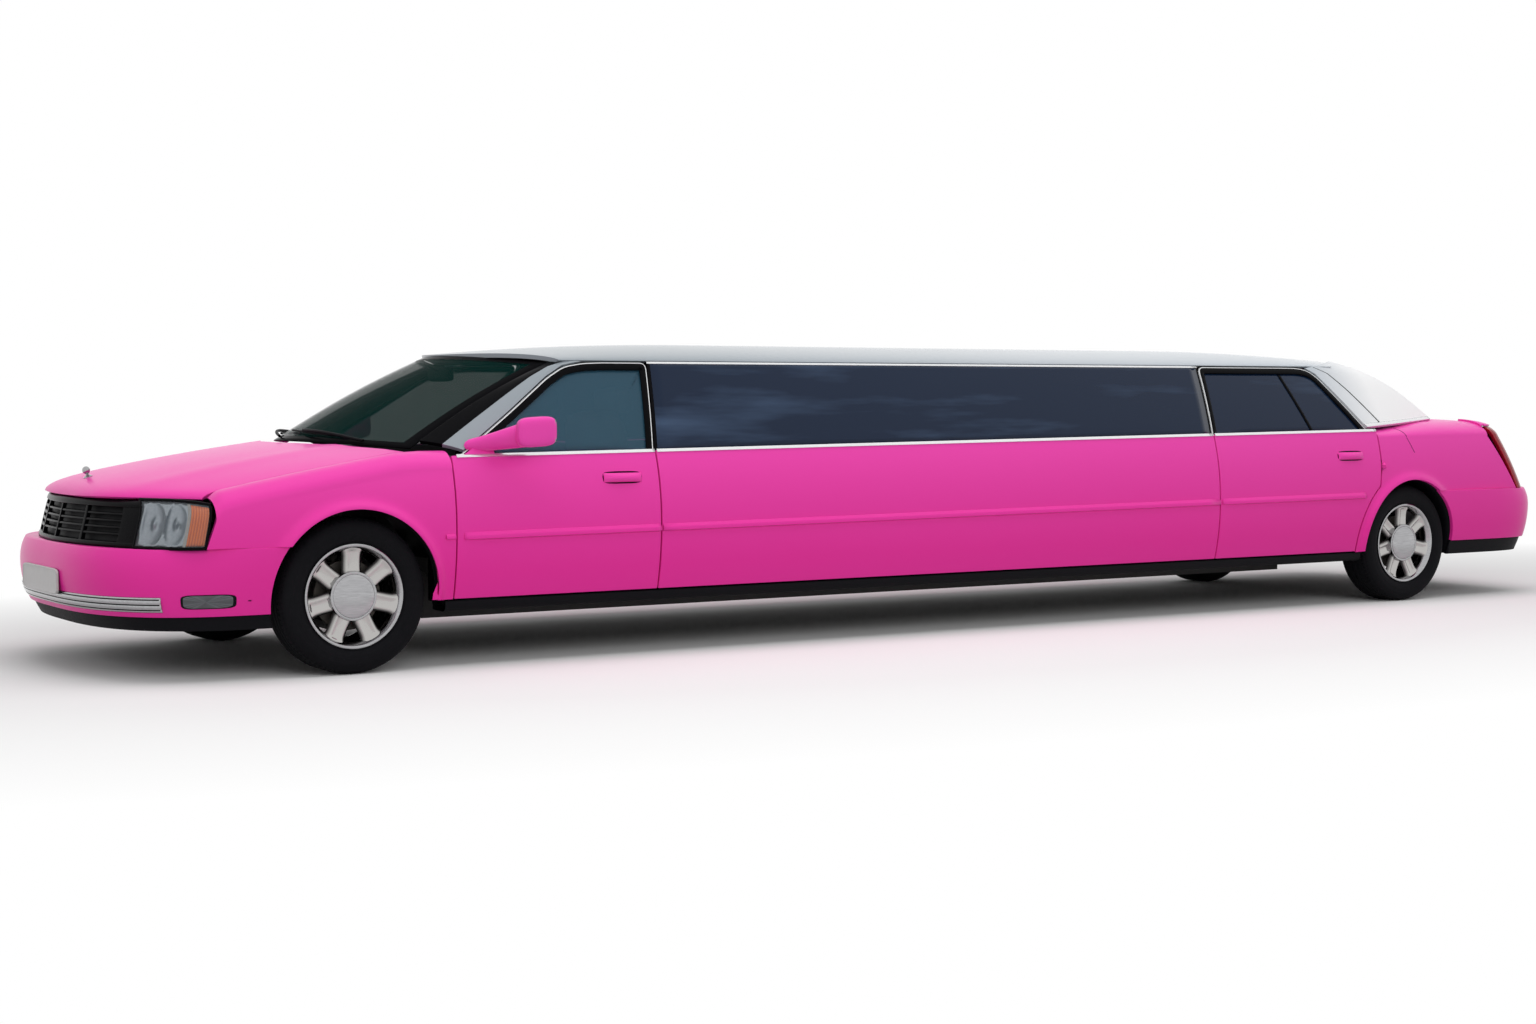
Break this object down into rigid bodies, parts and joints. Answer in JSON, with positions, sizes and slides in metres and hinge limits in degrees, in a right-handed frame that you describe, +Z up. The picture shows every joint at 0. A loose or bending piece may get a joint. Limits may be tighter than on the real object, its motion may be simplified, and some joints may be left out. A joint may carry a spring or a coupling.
{
  "type": "stretch limousine",
  "caption": "Long saloon car stretched between its doors, with a hollow cabin, hinged doors, hood and boot lid, steered front wheels and free-rolling rear wheels.",
  "frame": {"origin": "On the ground under the middle of the car's box", "axes": "+X forward, +Y to the car's left, +Z up"},
  "size_m": [8.8131, 2.1538, 1.44],
  "materials": {
    "paint": "gloss",
    "roof_paint": "gloss",
    "black_trim": "satin",
    "chassis": "matte",
    "iron": "matte",
    "pipe": "satin",
    "chrome": "polished",
    "tyre": "matte",
    "clear_glass": "clear",
    "dark_glass": "dark",
    "lamp": "clear",
    "tail_lamp": "gloss",
    "plate": "satin",
    "inside_trim": "satin",
    "seat": "satin"
  },
  "bodies": {
    "car_body": {"underbody": "chassis", "wheel_liners": "black_trim", "fenders": "paint", "mid_panels": "paint", "pillars": "black_trim", "roof": "roof_paint", "cowl": "black_trim", "rear_quarters": "paint", "front_bumper": "paint", "rear_bumper": "paint", "lower_trim": "black_trim", "grille": "black_trim", "headlamps": "lamp", "tail_lamps": "tail_lamp", "bumper_lamps": "lamp", "lower_bar": "chrome", "number_plate": "plate", "windscreen": "clear_glass", "rear_window": "dark_glass", "mid_windows": "dark_glass", "engine": "iron", "exhaust": "pipe", "front_suspension": "chassis", "rear_axle": "chassis", "dashboard": "inside_trim", "steering_wheel": "inside_trim", "front_seats": "seat", "lounge_seats": "seat"},
    "hood_panel": {"hood": "paint", "hood_ornament": "chrome"},
    "boot_lid": {"trunk_lid": "paint"},
    "door_front_left": {"front_door_left": "paint", "front_glass_left": "clear_glass", "mirror_left": "paint"},
    "door_rear_left": {"rear_door_left": "paint", "rear_glass_left": "dark_glass"},
    "door_front_right": {"front_door_right": "paint", "front_glass_right": "clear_glass", "mirror_right": "paint"},
    "door_rear_right": {"rear_door_right": "paint", "rear_glass_right": "dark_glass"},
    "steering_left": {"knuckle_left": "iron"},
    "steering_right": {"knuckle_right": "iron"},
    "wheel_front_left": {"tyre_front_left": "tyre", "rim_front_left": "chrome"},
    "wheel_front_right": {"tyre_front_right": "tyre", "rim_front_right": "chrome"},
    "wheel_rear_left": {"tyre_rear_left": "tyre", "rim_rear_left": "chrome"},
    "wheel_rear_right": {"tyre_rear_right": "tyre", "rim_rear_right": "chrome"}
  },
  "joints": [
    {"name": "hood_hinge", "type": "hinge", "parent": "car_body", "child": "hood_panel", "pos_m": [3.087, 0, 0.93], "axis": [0, -1, 0], "range_deg": [0, 50]},
    {"name": "boot_hinge", "type": "hinge", "parent": "car_body", "child": "boot_lid", "pos_m": [-3.699, 0, 1.024], "axis": [0, 1, 0], "range_deg": [0, 70]},
    {"name": "front_door_hinge_left", "type": "hinge", "parent": "car_body", "child": "door_front_left", "pos_m": [2.818, 0.897, 0.6], "axis": [0, 0, -1], "range_deg": [0, 65]},
    {"name": "rear_door_hinge_left", "type": "hinge", "parent": "car_body", "child": "door_rear_left", "pos_m": [-1.701, 0.897, 0.6], "axis": [0, 0, -1], "range_deg": [0, 65]},
    {"name": "front_door_hinge_right", "type": "hinge", "parent": "car_body", "child": "door_front_right", "pos_m": [2.818, -0.897, 0.6], "axis": [0, 0, 1], "range_deg": [0, 65]},
    {"name": "rear_door_hinge_right", "type": "hinge", "parent": "car_body", "child": "door_rear_right", "pos_m": [-1.701, -0.897, 0.6], "axis": [0, 0, 1], "range_deg": [0, 65]},
    {"name": "steer_left", "type": "hinge", "parent": "car_body", "child": "steering_left", "pos_m": [3.322, 0.6465, 0.335], "axis": [0, 0, 1], "range_deg": [-35, 35]},
    {"name": "steer_right", "type": "hinge", "parent": "car_body", "child": "steering_right", "pos_m": [3.322, -0.6465, 0.335], "axis": [0, 0, 1], "range_deg": [-35, 35]},
    {"name": "spin_front_left", "type": "hinge", "parent": "steering_left", "child": "wheel_front_left", "pos_m": [3.322, 0.7965, 0.335], "axis": [0, 1, 0], "continuous": true},
    {"name": "spin_front_right", "type": "hinge", "parent": "steering_right", "child": "wheel_front_right", "pos_m": [3.322, -0.7965, 0.335], "axis": [0, 1, 0], "continuous": true},
    {"name": "spin_rear_left", "type": "hinge", "parent": "car_body", "child": "wheel_rear_left", "pos_m": [-3.163, 0.79, 0.335], "axis": [0, 1, 0], "continuous": true},
    {"name": "spin_rear_right", "type": "hinge", "parent": "car_body", "child": "wheel_rear_right", "pos_m": [-3.163, -0.79, 0.335], "axis": [0, 1, 0], "continuous": true}
  ],
  "couplings": [
    {"joint": "steer_right", "follows": "steer_left", "ratio": 1}
  ]
}
